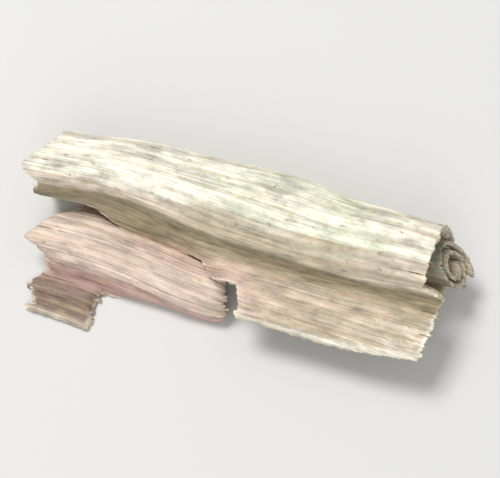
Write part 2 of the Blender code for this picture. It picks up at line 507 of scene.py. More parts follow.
@dataclass(frozen=True)
class Fray:
    """Loose fibres at a sheath's border: thin closed threads with sunk roots, which taper and bend.

    A thread runs outwards, along the stalk and astray by these shares, and is sunk by a share of its length.
    A border faces along the stalk where its direction has more than the share facing along it.
    """

    name: str
    seed: int
    count: int
    length: Span = (0.07, 0.34)
    radius: Span = (0.012, 0.022)
    outwards: float = 0.4
    along: float = 0.9
    astray: float = 0.16
    facing: float = 0.5
    sunk: float = 0.2
    bending: float = 0.22
    thinning: float = 0.75
    sides: int = 5
    rings: int = 7

    def threads(self, sheet: Sheet) -> tuple[Array, Array]:
        """Works out the threads' centre lines.

        A thread runs along the stalk the way that its border faces, or either way on a margin. It bends aside
        by the square of the share that it has run.

        Args:
            sheet: The sheath that they come off.

        Returns:
            The points of each thread's rings, and each ring's radius.
        """
        roots, outwards = sheet.rim()
        rng = np.random.default_rng(self.seed)
        chosen = rng.choice(len(roots), self.count, replace=False)
        roots, outwards = roots[chosen], outwards[chosen]
        either = rng.choice((-1.0, 1.0), self.count)
        along = np.where(np.abs(outwards[:, 0]) > self.facing, np.sign(outwards[:, 0]), either)
        run = self.outwards * outwards + rng.normal(0.0, self.astray, (self.count, 3))
        run[:, 0] += self.along * along
        run /= np.linalg.norm(run, axis=1, keepdims=True)
        aside = np.cross(run, rng.normal(0.0, 1.0, (self.count, 3)))
        length = rng.uniform(*self.length, (self.count, 1))
        share = np.linspace(-self.sunk, 1.0, self.rings)[None, :, None]
        bend = self.bending * length[..., None] * share**2 * aside[:, None]
        points = roots[:, None] + share * length[..., None] * run[:, None] + bend
        thinner = 1 - self.thinning * np.linspace(0, 1, self.rings) ** 2
        thick = rng.uniform(*self.radius, (self.count, 1)) * thinner
        points[..., 2] = np.maximum(points[..., 2], thick)
        return points, thick

    def build(self, sheet: Sheet, slot: Slot, material: bpy.types.Material) -> bpy.types.Object:
        """Makes one object of all the threads.

        Args:
            sheet: The sheath that they come off.
            slot: Not used.
            material: The finish.

        Returns:
            The object.
        """
        centres, thick = self.threads(sheet)
        run = np.gradient(centres, axis=1)
        run /= np.linalg.norm(run, axis=2, keepdims=True)
        across = np.cross(run, np.array(SLANTING))
        across /= np.linalg.norm(across, axis=2, keepdims=True)
        upright = np.cross(across, run)
        turn = np.linspace(0.0, 2 * np.pi, self.sides, endpoint=False)[:, None]
        spokes = np.cos(turn) * across[:, :, None] + np.sin(turn) * upright[:, :, None]
        skin = centres[:, :, None] + thick[:, :, None, None] * spokes
        skin[..., 2] = np.maximum(skin[..., 2], 0.0)
        each = self.rings * self.sides
        ring, side = np.meshgrid(np.arange(self.rings - 1), np.arange(self.sides), indexing="ij")
        corner = ring * self.sides + side
        beside = ring * self.sides + (side + 1) % self.sides
        quads = np.stack([corner, corner + self.sides, beside + self.sides, beside], axis=-1).reshape(-1, 4)
        starts = np.arange(self.count) * each
        faces = (quads[None] + starts[:, None, None]).reshape(-1, 4).tolist()
        root = np.arange(self.sides)
        tip = np.arange(each - self.sides, each)[::-1]
        faces += (root[None] + starts[:, None]).tolist() + (tip[None] + starts[:, None]).tolist()
        mesh = bpy.data.meshes.new(self.name)
        mesh.from_pydata(skin.reshape(-1, 3) * MM, [], faces)
        mesh.shade_smooth()
        LOG.info("%s: %d threads", self.name, self.count)
        return riding(self.name, mesh, material)


def linked(name: str, data: bpy.types.ID) -> bpy.types.Object:
    """A new object in the scene."""
    made = bpy.data.objects.new(name, data)
    bpy.context.scene.collection.objects.link(made)
    return made


def riding(name: str, mesh: bpy.types.Mesh, material: bpy.types.Material) -> bpy.types.Object:
    """Makes an object that rides on the body.

    Args:
        name: The object's name.
        mesh: Its mesh.
        material: The finish.

    Returns:
        The object.
    """
    mesh.materials.append(material)
    made = linked(name, mesh)
    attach(made, BODY)
    return made


def write_attribute(mesh: bpy.types.Mesh, name: str, values: Array) -> None:
    """Writes a named attribute, which has a row of three numbers for each vertex."""
    attribute = mesh.attributes.new(name, "FLOAT_VECTOR", "POINT")
    attribute.data.foreach_set("vector", values.astype(np.float32).ravel())


def spread(mask: Array, along: float = 0.5, across: float = 0.78, steps: int = 7) -> Array:
    """How near the sheet's border is: 1 on it, and less by a share for each grid step inwards.

    Args:
        mask: Which quads are kept.
        along: The share for a step along the stalk.
        across: The share for a step across it.
        steps: How many steps it reaches.

    Returns:
        The nearness at each grid point.
    """
    ringed = np.pad(mask, 1)
    around = [ringed[:-1, :-1], ringed[1:, :-1], ringed[:-1, 1:], ringed[1:, 1:]]
    near = np.where(np.all(around, axis=0), 0.0, 1.0)
    for _ in range(steps):
        for axis, share in ((0, along), (1, across)):
            for step in (1, -1):
                near = np.maximum(near, np.roll(near, step, axis) * share)
    return near


@dataclass(frozen=True)
class Veins:
    """The relief on a sheet's faces, in millimetres: how high, and how far apart and how much it varies.

    Each rib wanders on its own, because it reads the same drift from a place further on. The finer ribs are
    three to a rib.
    """

    level: float = 0.6
    power: float = 0.75
    strength: float = 0.75
    variety: float = 0.3
    rib_wander: float = 2.6
    rib_further: float = 17.3
    finer: float = 0.026
    finer_wander: float = 1.9
    finer_further: float = 9.1
    fibre_wide: float = 0.11
    fibre_high: float = 0.013
    fibre_wander: Span = (3.0, 0.06)


@dataclass
class Sheath:
    """What every sheath has: a grid, two cut ends, ribs and a wall. Each kind adds its own cross-section."""

    name: str
    node: str
    slot: Slot
    width: float
    columns: int
    rows: int
    left: Cut
    right: Cut
    left_slits: Slits
    right_slits: Slits
    seed: int
    anchored: Face = Face.FRONT
    standoff: float = CAD_WALL / 2
    wall: float = 0.4
    margin_wall: float = 0.2
    rib_height: float = 0.045
    veins: Veins = Veins()
    drop: float = 0.0
    drying: Drying = Drying()
    waves: Triple = (7.0, 3.0, 0.05)
    wall_waves: Triple = (4.0, 1.5, 0.03)
    calm: float = 0.5
    even_rows: float = 0.6
    under_relief: Span = (0.4, 0.6)

    def section(self, x: Array, v: Array) -> Section:
        """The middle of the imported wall, where the stalk is at x."""
        raise NotImplementedError

    def kept(self, x: Array, v: Array, y: Array, z: Array) -> Array:
        """Which places of the sheet are left after the tears."""
        return np.ones(x.shape, bool)

    def ends(self, v: Array, base: Section) -> tuple[Array, Array]:
        """Where each column starts and ends along the stalk."""
        return self.left.at(v, base.y, base.z), self.right.at(v, base.y, base.z)

    def tears(self, v: Array, y: Array) -> tuple[tuple[float, Array], ...]:
        """The tears across the veins: about where each one is, and where it crosses each column."""
        return ()

    def places(self, u: Array, v: Array, base: Section, first: Array, last: Array) -> Array:
        """Where each grid point is along the stalk.

        The rows run evenly from line to line across the veins: the left end, each tear and the right end.
        So one row follows each tear, and the tear is as smooth as its own formula.

        Args:
            u: How far along each row is, from 0 to 1.
            v: Distances across the sheet.
            base: The section.
            first: Where each column starts.
            last: Where it ends.

        Returns:
            The places.
        """
        knots = [(0.0, first)]
        for about, crossing in self.tears(v, base.y):
            row = np.argmin(np.abs(self.left.x + (self.right.x - self.left.x) * u[:, 0] - about))
            knots.append((float(u[row, 0]), crossing))
        knots.append((1.0, last))
        x = first + 0.0
        for (before, start), (after, stop) in zip(knots, knots[1:]):
            x = np.where(u > before, start + (stop - start) * (u - before) / (after - before), x)
        return x

    def ribbed(self, x: Array, v: Array) -> Array:
        """How strong the ribs are at each place."""
        return np.ones(np.broadcast(x, v).shape)

    def crest(self, v: Array) -> Array:
        """How high on a rib each column is: the sine of half a turn a rib, to a power, from 0 to 1."""
        pitch = self.width / round(self.width / RIB_PITCH)
        return np.abs(np.sin(np.pi * v / pitch)) ** self.veins.power

    def relief(self, x: Array, v: Array) -> Array:
        """Ribs and finer ribs, in millimetres: each rib has its own height, which wanders along the stalk.

        Args:
            x: Places along the stalk.
            v: Distances across the sheet.

        Returns:
            The height above the sheet's own face.
        """
        pitch = self.width / round(self.width / RIB_PITCH)
        rib = np.floor(v / pitch)
        veins = self.veins
        strength = veins.strength + jumps(self.seed + 1, v, pitch, veins.variety)
        further = x + rib * veins.rib_further
        strength = strength + drift(self.seed + 2, further, veins.rib_wander, veins.variety)
        wander = drift(self.seed + 3, x + v * veins.finer_further, veins.finer_wander, 0.5)
        finer = veins.finer * np.abs(np.sin(3 * np.pi * v / pitch)) * (0.5 + wander)
        wavy = v + drift(self.seed + 7, x, *veins.fibre_wander)
        fibres = drift(self.seed + 6, wavy, veins.fibre_wide, veins.fibre_high)
        ribs = self.rib_height * (self.crest(v) - veins.level) * strength
        return self.ribbed(x, v) * (ribs + finer) + fibres

    def thickness(self, x: Array, v: Array, near: Array) -> Array:
        """The wall, thinner where a border is near."""
        wall = self.wall + (self.margin_wall - self.wall) * near
        return wall + swell(self.seed + 4, x, v, *self.wall_waves)

    def sheet(self) -> Sheet:
        """Works the whole sheath out.

        The rows are closer together at both ends. Low waves, calmer at a border, and the tongues' parting
        move its middle. Its faces stand off that by the wall and the relief, and never go below the floor.

        Returns:
            The sheet, in millimetres, over the origin.
        """
        even = np.linspace(0.0, 1.0, self.rows + 1)[:, None]
        u = self.even_rows * even + (1 - self.even_rows) * (0.5 - 0.5 * np.cos(np.pi * even))
        v = np.linspace(0.0, self.width, self.columns + 1)[None, :] + 0 * u
        level = self.left.x + (self.right.x - self.left.x) * u + 0 * v
        base = self.section(level, v)
        first, last = self.ends(v, base)
        x = self.places(u, v, base, first, last)
        torn, kept = self.left_over(x, v, base, first, last)
        near = spread(torn)
        waves = swell(self.seed + 5, x, v, *self.waves)
        parting = self.left_slits.parting(self.width, v, x - first)
        parting = parting + self.right_slits.parting(self.width, v, last - x)
        middle = base.out(waves * (1 - self.calm * near) + parting)
        thick = self.thickness(x, v, near)
        relief = self.relief(x, v)
        below = self.under_relief[0 if self.anchored is Face.FRONT else 1] * relief
        if self.anchored is Face.FRONT:
            front, back = middle.out(self.standoff + relief), middle.out(self.standoff - thick - below)
        else:
            front, back = middle.out(thick - self.standoff + relief), middle.out(-self.standoff - below)
        faces = []
        for face in (front, back):
            y, z = self.drying.settle(x, face.y, face.z - self.drop)
            faces.append(np.stack([x + CENTRING[0], y + CENTRING[1], np.maximum(z, 0.0)], axis=-1))
        # How low each column lies between ribs, where the finish paints shade
        groove = (1 - self.crest(v)) * self.ribbed(x, v)
        grain = np.stack([x, v, 0 * v], axis=-1)
        marks = np.stack([near, groove, 0 * v], axis=-1)
        return Sheet(faces[0], faces[1], kept, grain, marks, self.seed)

    def left_over(self, x: Array, v: Array, base: Section, first: Array, last: Array) -> tuple[Array, Array]:
        """Which quads are left after the tears, and after the splits too.

        Args:
            x: Places along the stalk, at the grid points.
            v: Distances across the sheet.
            base: The section.
            first: Where each column starts.
            last: Where it ends.

        Returns:
            True for each quad that the tears leave, and for each that the splits leave as well.
        """

        def centred(values: Array) -> Array:
            """The means of the grid's quads."""
            return (values[:-1, :-1] + values[1:, :-1] + values[:-1, 1:] + values[1:, 1:]) / 4

        mid_x, mid_v = centred(x), centred(v)
        torn = self.kept(mid_x, mid_v, centred(base.y), centred(base.z))
        half = self.width / self.columns / 2
        split = self.left_slits.open(self.width, mid_v, centred(x - first), half)
        split |= self.right_slits.open(self.width, mid_v, centred(last - x), half)
        return torn, torn & ~split

    def build(self, sheet: Sheet, material: bpy.types.Material) -> bpy.types.Object:
        """Makes the sheath's object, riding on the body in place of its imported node.

        Args:
            sheet: The sheath, worked out.
            material: The finish.

        Returns:
            The object.
        """
        mesh = sheet.mesh(self.name)
        leaf = riding(self.name, mesh, material)
        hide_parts(self.node)
        triangles = sum(len(face.vertices) - 2 for face in mesh.polygons)
        LOG.info("%s: %d points, %d triangles", self.name, len(mesh.vertices), triangles)
        return leaf


TUBE_HEADING = math.radians(-85)
TUBE = (
    Arc(0.95, 75),
    Arc(2.9, 20),
    Arc(0.95, 65),
    Arc(3.0, 25),
    Arc(0.9, 60),
    Arc(2.9, 30),
    Arc(0.7, 65),
    Arc(0.3),
)
TUBE_STEPS = 400
TOE = 2
CRADLE_TURNS = (-42.0, -22.0)
FLAP_FLAT = 3
VALLEY = Arc(0.65, -80)
WING = Arc(3.5, 38)


def length_of(arcs: Sequence[Arc]) -> float:
    """How long a chain of arcs is, in millimetres."""
    return sum(arc.length for arc in arcs)


def ripple(x: Array, v: Array, high: float, along: float, across: float) -> Array:
    """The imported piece's low waves: high times the sine of along * x + across * v."""
    return high * np.sin(along * x + across * v)


def tube_section(v: Array, beyond: Sequence[Bend] = (VALLEY.bend, WING.bend)) -> Section:
    """The rolled tube and what goes on past it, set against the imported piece's side and floor.

    Args:
        v: Distances across the sheet.
        beyond: The bends past the tube.

    Returns:
        The section at those distances.
    """
    bends = [*(arc.bend for arc in TUBE), *beyond]
    tube = walk(bends[: len(TUBE)], TUBE_HEADING, np.linspace(0.0, length_of(TUBE), TUBE_STEPS))
    side = TUBE_SIDE_Y - CAD_WALL / 2 - float(tube.y.max())
    floor = 1.5 * CAD_WALL + CAD_GAP - REST_CUT - float(tube.z.min())
    return walk(bends, TUBE_HEADING, v).shifted(side, floor)


@dataclass
class MiddleSheath(Sheath):
    """The cream sheath: a tube, then a valley and a wing beside it. Its wing is torn off on the left.

    What is left of the wing there lies on the flap, and at the far left it hangs beside the tube.
    """

    ripples: Triple = (0.05, 0.9, 1.2)
    wing_left_x: float = -0.5
    wing_lean: float = -0.3
    wing_fray: float = 0.09
    tear_further: float = 0.5
    wing_right: Cut = Cut(9.1, (0.11, 0.0), 213)
    wing_more: float = 0.3
    wing_taper: float = 0.55
    taper_from: Span = (4.5, 9.5)
    wing_from: Span = (-0.5, 0.1)
    hanging: float = 1.0
    hanging_back: float = 1.0
    hanging_from: Span = (-0.8, -0.1)
    tuck_back: float = 0.9
    tucked: Span = (0.4, 2.0)
    laid: float = 1.78
    laid_turn: float = -14.0
    laid_from: Span = (-7.6, -4.8)
    laid_to: Span = (-2.4, -0.2)
    tongue: float = 0.75
    tongue_from: Span = (-1.5, -0.6)
    lifted_back: float = 0.3
    lifted_from: Span = (-3.0, -1.6)
    margin_wander: Span = (2.1, 0.1)
    wing_thinner: float = 0.12
    thinning_from: float = 1.6

    def section(self, x: Array, v: Array) -> Section:
        """The tube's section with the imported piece's low waves.

        The valley turns less where the sheath only lies on the flap, and not at all where it hangs.

        Args:
            x: Places along the stalk.
            v: Distances across the sheet.

        Returns:
            The section at those places.
        """
        turn = self.laid_turn * rise(x, *self.laid_from)
        turn = turn + (VALLEY.turn - self.laid_turn) * rise(x, *self.laid_to)
        beyond = ((VALLEY.length, np.radians(turn)), WING.bend, (self.wing_more, 0.0))
        return tube_section(v, beyond).out(ripple(x, v, *self.ripples))

    def ends(self, v: Array, base: Section) -> tuple[Array, Array]:
        """The tube's cuts, then the wing's own on the right, and shorter ends at both margins on the left.

        Args:
            v: Distances across the sheet.
            base: The section.

        Returns:
            Where each column starts, and where it ends.
        """
        first, last = super().ends(v, base)
        beyond = v - length_of(TUBE)
        wing = self.wing_right.at(v, base.y, base.z)
        first = first + self.hanging_back * rise(beyond, *self.hanging_from)
        first = first + self.tuck_back * (1 - rise(v, *self.tucked))
        return first, last + (wing - last) * rise(beyond, *self.wing_from)

    def tears(self, v: Array, y: Array) -> tuple[tuple[float, Array], ...]:
        """The wing's tear, which its lean brings further right."""
        leaning = self.wing_lean * (y - CUT_CENTRE[0])
        tear = self.wing_left_x + leaning + frayed(self.seed + 23, v, self.wing_fray)
        return ((self.wing_left_x + self.tear_further, tear),)

    def kept(self, x: Array, v: Array, y: Array, z: Array) -> Array:
        """All of it right of the wing's tear, and left of that only what hangs or lies on the flap.

        Args:
            x: Places along the stalk.
            v: Distances across the sheet.
            y: Places across the stalk.
            z: Heights.

        Returns:
            True where the sheath is left.
        """
        beyond = self.hanging + (self.laid - self.hanging) * rise(x, *self.laid_from)
        tongue = self.tongue * rise(x, *self.tongue_from) - self.lifted_back * rise(x, *self.lifted_from)
        margin = length_of(TUBE) + beyond + tongue + drift(self.seed + 21, x, *self.margin_wander)
        wing = v < self.width - self.wing_taper * rise(x, *self.taper_from)
        return (v < margin) | ((x > self.tears(v, y)[0][1]) & wing)

    def thickness(self, x: Array, v: Array, near: Array) -> Array:
        """The wall, which also thins out over the wing."""
        thinner = self.wing_thinner * rise(v, self.width - self.thinning_from, self.width)
        return super().thickness(x, v, near) - thinner


@dataclass
class OuterSheath(Sheath):
    """The pink sheath: a cradle under the tube, a flap beside it, and at the left a strip past a crease."""

    ripples: Triple = (0.04, 0.8, 1.38)
    ripples_rise: float = 1.1
    fold_length: float = 0.7
    strip_length: float = 1.7
    crease_turn: float = -85.0
    curl_turn: float = 40.0
    crease_ends: Span = (-5.2, -3.6)
    strip_right_x: float = -5.5
    strip_fray: float = 0.16
    flap_right_x: float = -0.6
    flap_lean: float = -0.16
    flap_fray: float = 0.08
    tear_further: float = 0.4
    flap_taper: float = 0.5
    taper_from: Span = (-7.5, 0.5)
    flap_margin: float = 0.15
    margin_wander: Span = (1.2, 0.14)
    cradle_more: float = 0.58
    cradle_wander: Span = (1.4, 0.2)
    margin_pinch: float = 0.46
    pinched: Span = (0.1, 1.2)
    flank_pinch: float = 0.34
    flank: Triple = (-0.8, 0.1, 1.1)
    pinch_wander: Span = (2.3, 0.15)
    cradle_ribs: float = 0.2
    ribs_from: Span = (0.4, 1.2)
    corners: tuple[Span, ...] = (
        (-5.0, 0.0),
        (-2.9, -0.86),
        (-2.15, -1.2),
        (-1.5, -1.8),
        (-1.15, -1.15),
        (-0.65, -0.6),
        (0.0, -0.35),
        (0.35, -0.45),
        (0.85, -1.0),
        (2.35, -0.55),
    )

    @staticmethod
    def cradle() -> tuple[Arc, Arc]:
        """The part under the tube, which runs beside the tube's own arcs."""
        apart = CAD_WALL + CAD_GAP
        turns = CRADLE_TURNS
        return Arc(TUBE[TOE].size + apart, turns[0]), Arc(TUBE[TOE - 1].size + apart, turns[1])

    @staticmethod
    def flap() -> tuple[Arc, ...]:
        """The part beside the tube: up, over, and down to the floor."""
        return Arc(1.5, -29), Arc(1.35), Arc(1.6, 39), Arc(1.42, 84)

    @property
    def fold(self) -> float:
        """How far across the sheet the crease starts."""
        return length_of(self.cradle()) + length_of(self.flap())

    def section(self, x: Array, v: Array) -> Section:
        """The section at x, set so that the cradle lies beside the tube's underside.

        The crease turns back by crease_turn on the left, and curls under by curl_turn on the right.

        Args:
            x: Places along the stalk.
            v: Distances across the sheet.

        Returns:
            The section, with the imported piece's low waves on the flap.
        """
        turn = self.crease_turn + (self.curl_turn - self.crease_turn) * rise(x, *self.crease_ends)
        toe = tube_section(np.array([length_of(TUBE[:TOE])]))
        apart = toe.out(CAD_WALL + CAD_GAP)
        start = float(toe.heading[0]) + math.pi - math.radians(CRADLE_TURNS[0])
        bends = [arc.bend for arc in (*self.cradle(), *self.flap())]
        bends[FLAP_FLAT] = (bends[FLAP_FLAT][0] - self.shrunk(x), 0.0)
        bends += [(self.fold_length, np.radians(turn)), (self.strip_length + self.shrunk(x), 0.0)]
        under = walk(bends[:2], start, np.array([self.cradle()[0].length]))
        across, up = float(apart.y[0] - under.y[0]), float(apart.z[0] - under.z[0])
        low = length_of(self.cradle()) + self.cradle_more
        waves = ripple(x, v, *self.ripples) * rise(v, low, low + self.ripples_rise)
        return walk(bends, start, v).shifted(across, up).out(waves + self.pinch(x, v))

    def ends(self, v: Array, base: Section) -> tuple[Array, Array]:
        """The cuts. The left one is a broken line through the corners, given by their way past the fold."""
        first, last = super().ends(v, base)
        across, along = zip(*self.corners)
        return first + np.interp(v - self.fold, across, along), last

    def shrunk(self, x: Array) -> Array:
        """How much narrower the flap's flat part has dried, towards the right."""
        return self.flap_taper * rise(x, *self.taper_from)

    def tears(self, v: Array, y: Array) -> tuple[tuple[float, Array], ...]:
        """The strip's tear, and the flap's, which its lean brings further right.

        Args:
            v: Distances across the sheet.
            y: Places across the stalk.

        Returns:
            About where each one is, and where it crosses each column.
        """
        strip = self.strip_right_x + frayed(self.seed + 23, v, self.strip_fray) + 0 * y
        leaning = self.flap_lean * (y - CUT_CENTRE[0])
        flap = self.flap_right_x + leaning + frayed(self.seed + 27, v, self.flap_fray)
        return (self.strip_right_x, strip), (self.flap_right_x + self.tear_further, flap)

    def pinch(self, x: Array, v: Array) -> Array:
        """How far the cradle's two sides close on the tube: its free margin, and the flap's side.

        Args:
            x: Places along the stalk.
            v: Distances across the sheet.

        Returns:
            The distances square to the sheet.
        """
        start, middle, end = self.flank
        beside = v - length_of(self.cradle())
        margin = self.margin_pinch * (1 - rise(v, *self.pinched))
        flank = self.flank_pinch * rise(beside, start, middle) * (1 - rise(beside, middle, end))
        uneven = drift(self.seed + 30, x, *self.pinch_wander)
        return (margin + flank) * (1 - self.pinch_wander[1] + uneven)

    def kept(self, x: Array, v: Array, y: Array, z: Array) -> Array:
        """All of it left of the strip's tear, the flap up to its margin right of that, then only the cradle.

        Args:
            x: Places along the stalk.
            v: Distances across the sheet.
            y: Places across the stalk.
            z: Heights.

        Returns:
            True where the sheath is left.
        """
        margin = self.fold - self.shrunk(x) + self.fold_length - self.flap_margin
        margin = margin + drift(self.seed + 21, x, *self.margin_wander)
        under = length_of(self.cradle()) + self.cradle_more + drift(self.seed + 22, x, *self.cradle_wander)
        margin, under = (np.round(edge / FIBRE) * FIBRE for edge in (margin, under))
        (_, strip_tear), (_, flap_tear) = self.tears(v, y)
        return (v < under) | ((v < margin) & (x < flap_tear)) | (x < strip_tear)

    def ribbed(self, x: Array, v: Array) -> Array:
        """Ribs on the flap and the strip, and nearly none where the cradle rests."""
        beside = v - length_of(self.cradle())
        return self.cradle_ribs + (1 - self.cradle_ribs) * rise(beside, *self.ribs_from) + 0 * x


@dataclass
class InnerSheath(Sheath):
    """The small roll: a thin sheet wound about two and a half times, a little wider than it is high."""

    radius: float = 0.92
    pitch: float = 0.3
    start: float = math.radians(285)
    leaning: float = 0.12
    above_floor: float = 0.14
    aside: float = 0.22
    lifted: float = 0.3
    lifted_from: Span = (1.0, 10.0)
    oval: Span = (1.05, 0.98)
    twist: Span = (0.1, 0.35)
    lip: float = 0.05
    lip_to: float = 0.5

    def section(self, x: Array, v: Array) -> Section:
        """A spiral whose radius falls by the pitch each turn. It rests in the tube, and bends up at right.

        The distance along it to the angle a is radius * a - pitch * a * a / (4 * pi), which is solved for a.

        Args:
            x: Places along the stalk.
            v: Distances along the spiral.

        Returns:
            The section at those distances.
        """
        turned = (self.radius - np.sqrt(self.radius**2 - self.pitch * v / np.pi)) * 2 * np.pi / self.pitch
        lip = self.lip * (1 - rise(v, 0.0, self.lip_to))
        radius = self.radius - self.pitch * turned / (2 * np.pi) + lip
        angle = self.start + turned + self.twist[0] * np.sin(self.twist[1] * x)
        toe = tube_section(np.array([length_of(TUBE[:TOE])]))
        bent = rise(x, *self.lifted_from)
        rest = float(toe.z[0]) + self.above_floor + self.radius + self.wall / 2 + self.lifted * bent
        y = CUT_CENTRE[0] + self.leaning + self.aside * bent + self.oval[0] * radius * np.cos(angle)
        return Section(y, rest + self.oval[1] * radius * np.sin(angle), angle + np.pi / 2)

    def thickness(self, x: Array, v: Array, near: Array) -> Array:
        """The same thin wall, a little thinner at its borders."""
        return self.wall + (self.margin_wall - self.wall) * near


Term = Union["Signal", float]


class Signal:
    """One socket's output in an expression on values. Each operator adds a Math node."""

    def __init__(self, graph: "Graph", socket: bpy.types.NodeSocket) -> None:
        """Keeps the graph and the socket."""
        self.graph = graph
        self.socket = socket

    def __add__(self, other: Term) -> "Signal":
        """This plus other."""
        return self.graph.maths("ADD", self, other)

    def __radd__(self, other: Term) -> "Signal":
        """Other plus this."""
        return self.graph.maths("ADD", other, self)

    def __sub__(self, other: Term) -> "Signal":
        """This less other."""
        return self.graph.maths("SUBTRACT", self, other)

    def __rsub__(self, other: Term) -> "Signal":
        """Other less this."""
        return self.graph.maths("SUBTRACT", other, self)

    def __mul__(self, other: Term) -> "Signal":
        """This times other."""
        return self.graph.maths("MULTIPLY", self, other)

    def __rmul__(self, other: Term) -> "Signal":
        """Other times this."""
        return self.graph.maths("MULTIPLY", other, self)

    def rise(self, low: float, high: float) -> "Signal":
        """A smooth step from 0 at low to 1 at high."""
        values = {"Value": self, "From Min": low, "From Max": high}
        return self.graph.node("MapRange", {"interpolation_type": "SMOOTHSTEP"}, values)


class Graph:
    """A material's node tree, built from expressions."""

    def __init__(self, name: str) -> None:
        """Starts a material that has only its Principled shader.

        Args:
            name: The material's name.
        """
        self.material = bpy.data.materials.new(name)
        self.material.use_nodes = True
        self.tree = self.material.node_tree
        self.shader = self.tree.nodes["Principled BSDF"]

    def feed(self, socket: bpy.types.NodeSocket, value: Union[Signal, float, Colour]) -> None:
        """Links a signal to a socket, or sets the socket's own value.

        Args:
            socket: The socket.
            value: What goes into it.
        """
        if isinstance(value, Signal):
            self.tree.links.new(value.socket, socket)
        elif isinstance(value, tuple) and socket.type == "RGBA":
            socket.default_value = (*value, 1.0)
        else:
            socket.default_value = value

    def node(self, kind: str, settings: dict, values: dict, output: Union[int, str] = 0) -> Signal:
        """Adds any node.

        Args:
            kind: Its type, without ShaderNode in front.
            settings: Its own settings, which are set first.
            values: A value or a signal for each socket that is named or numbered.
            output: The output to give back.

        Returns:
            The output.
        """
        node = self.tree.nodes.new("ShaderNode" + kind)
        for name, value in settings.items():
            setattr(node, name, value)
        for name, value in values.items():
            self.feed(node.inputs[name], value)
        return Signal(self, node.outputs[output])

    def maths(self, operation: str, first: Term, second: Term) -> Signal:
        """One Math node."""
        return self.node("Math", {"operation": operation}, {0: first, 1: second})

    def parts(self, name: str) -> tuple[Signal, Signal, Signal]:
        """Reads a mesh attribute.

        Args:
            name: The attribute's name.

        Returns:
            Its three numbers.
        """
        read = self.node("Attribute", {"attribute_name": name}, {}, "Vector")
        node = self.tree.nodes.new("ShaderNodeSeparateXYZ")
        self.feed(node.inputs[0], read)
        return tuple(Signal(self, node.outputs[i]) for i in range(3))

    def cloud(self, cloud: "Cloud", at: "Place", further: Term = 0.0) -> Signal:
        """Reads a cloud's noise.

        Args:
            cloud: The kind of noise.
            at: The place on the sheet.
            further: How far off in the noise it is read, which gives another noise of the same kind.

        Returns:
            The noise, from 0 to 1.
        """
        values = {0: at.x * cloud.along, 1: at.v * cloud.across, 2: further + cloud.level}
        values = {"Vector": self.node("CombineXYZ", {}, values), "Scale": 1.0}
        values |= {"Detail": cloud.detail, "Roughness": cloud.rough}
        return self.node("TexNoise", {"noise_dimensions": "3D"}, values)

    def mix(self, first: Union[Signal, Colour], second: Union[Signal, Colour], share: Term) -> Signal:
        """First where share is 0 and second where it is 1."""
        return self.node("Mix", {"data_type": "RGBA"}, {0: share, 6: first, 7: second}, 2)

    def painted(self, colour: Union[Signal, Colour], at: "Place", coats: Sequence["Coat"]) -> Signal:
        """A colour under the coats, which are laid on in order."""
        for coat in coats:
            colour = coat.over(self, colour, at)
        return colour

    def shade(self, colour: Signal, by: Signal) -> Signal:
        """A colour made lighter or darker."""
        return self.node("VectorMath", {"operation": "SCALE"}, {0: colour, "Scale": by})


@dataclass(frozen=True)
class Place:
    """What a finish reads of a sheet: places along it and across it, and how near its border is."""

    x: Signal
    v: Signal
    edge: Signal


@dataclass(frozen=True)
class Cloud:
    """Noise on a sheet, with how many of its features there are to a millimetre along and across.

    Its level tells it from other noise. It counts from the first number of full, and is full at the second.
    It makes the leaf lighter or darker by light, and stands up by height.
    """

    along: float
    across: float
    level: float
    detail: float = 3.0
    rough: float = 0.55
    full: Span = (0.0, 1.0)
    light: float = 0.0
    height: float = 0.0


class Pattern(Enum):
    """The noise that all the sheaths share. Streaks, striae and veins are drawn out along the stalk."""

    STREAKS = Cloud(0.16, 3.2, 0.0, 4.0, 0.6, full=(0.42, 0.68), light=0.84, height=0.022)
    STRIAE = Cloud(0.55, 13.0, 3.0, 3.0, 0.6, full=(0.3, 0.6), light=0.66, height=0.024)
    PATCHES = Cloud(0.42, 0.9, 9.0, full=(0.5, 0.78))
    FLECKS = Cloud(2.1, 6.5, 15.0, 2.0, 0.5, full=(0.66, 0.74))
    PORES = Cloud(9.0, 22.0, 21.0, 2.0, 0.6, light=0.16, height=0.01)
    MOTTLE = Cloud(1.15, 2.6, 27.0, 4.0, 0.62, full=(0.3, 0.6), light=1.15, height=0.03)
    MARKS = Cloud(1.3, 2.9, 33.0, 2.0, 0.5, full=(0.58, 0.68))
    VEINS = Cloud(0.09, 4.6, 39.0, 1.0, 0.5, full=(0.44, 0.5))
    RIBBONS = Cloud(0.42, 1.5, 45.0, 2.0, light=0.8)


@dataclass(frozen=True)
class Coat:
    """A coat of colour: its share, and where it lies.

    Each span is a smooth step, from where it starts to where it is full. The coat comes and goes along the
    stalk, starts and stops across the sheet, and keeps to the rim and to its clouds. Once it goes, the share
    that left gives stays.
    """

    colour: Union[Colour, Signal]
    share: float = 1.0
    comes: Optional[Span] = None
    goes: Optional[Span] = None
    left: float = 0.0
    starts: Optional[Span] = None
    stops: Optional[Span] = None
    rim: Optional[Span] = None
    clouds: tuple[Cloud, ...] = ()

    def over(self, graph: Graph, colour: Union[Colour, Signal], at: Place) -> Signal:
        """Lays the coat on: its share, times each step that it has.

        Args:
            graph: The material's nodes.
            colour: What is under it.
            at: The place on the sheet.

        Returns:
            The colour.
        """
        mask = self.share
        for place, span in ((at.x, self.comes), (at.v, self.starts), (at.edge, self.rim)):
            if span:
                mask = place.rise(*span) * mask
        for place, span, left in ((at.x, self.goes, self.left), (at.v, self.stops, 0.0)):
            if span:
                mask = (1.0 - place.rise(*span) * (1.0 - left)) * mask
        for cloud in self.clouds:
            mask = graph.cloud(cloud, at).rise(*cloud.full) * mask
        return graph.mix(colour, self.colour, mask)


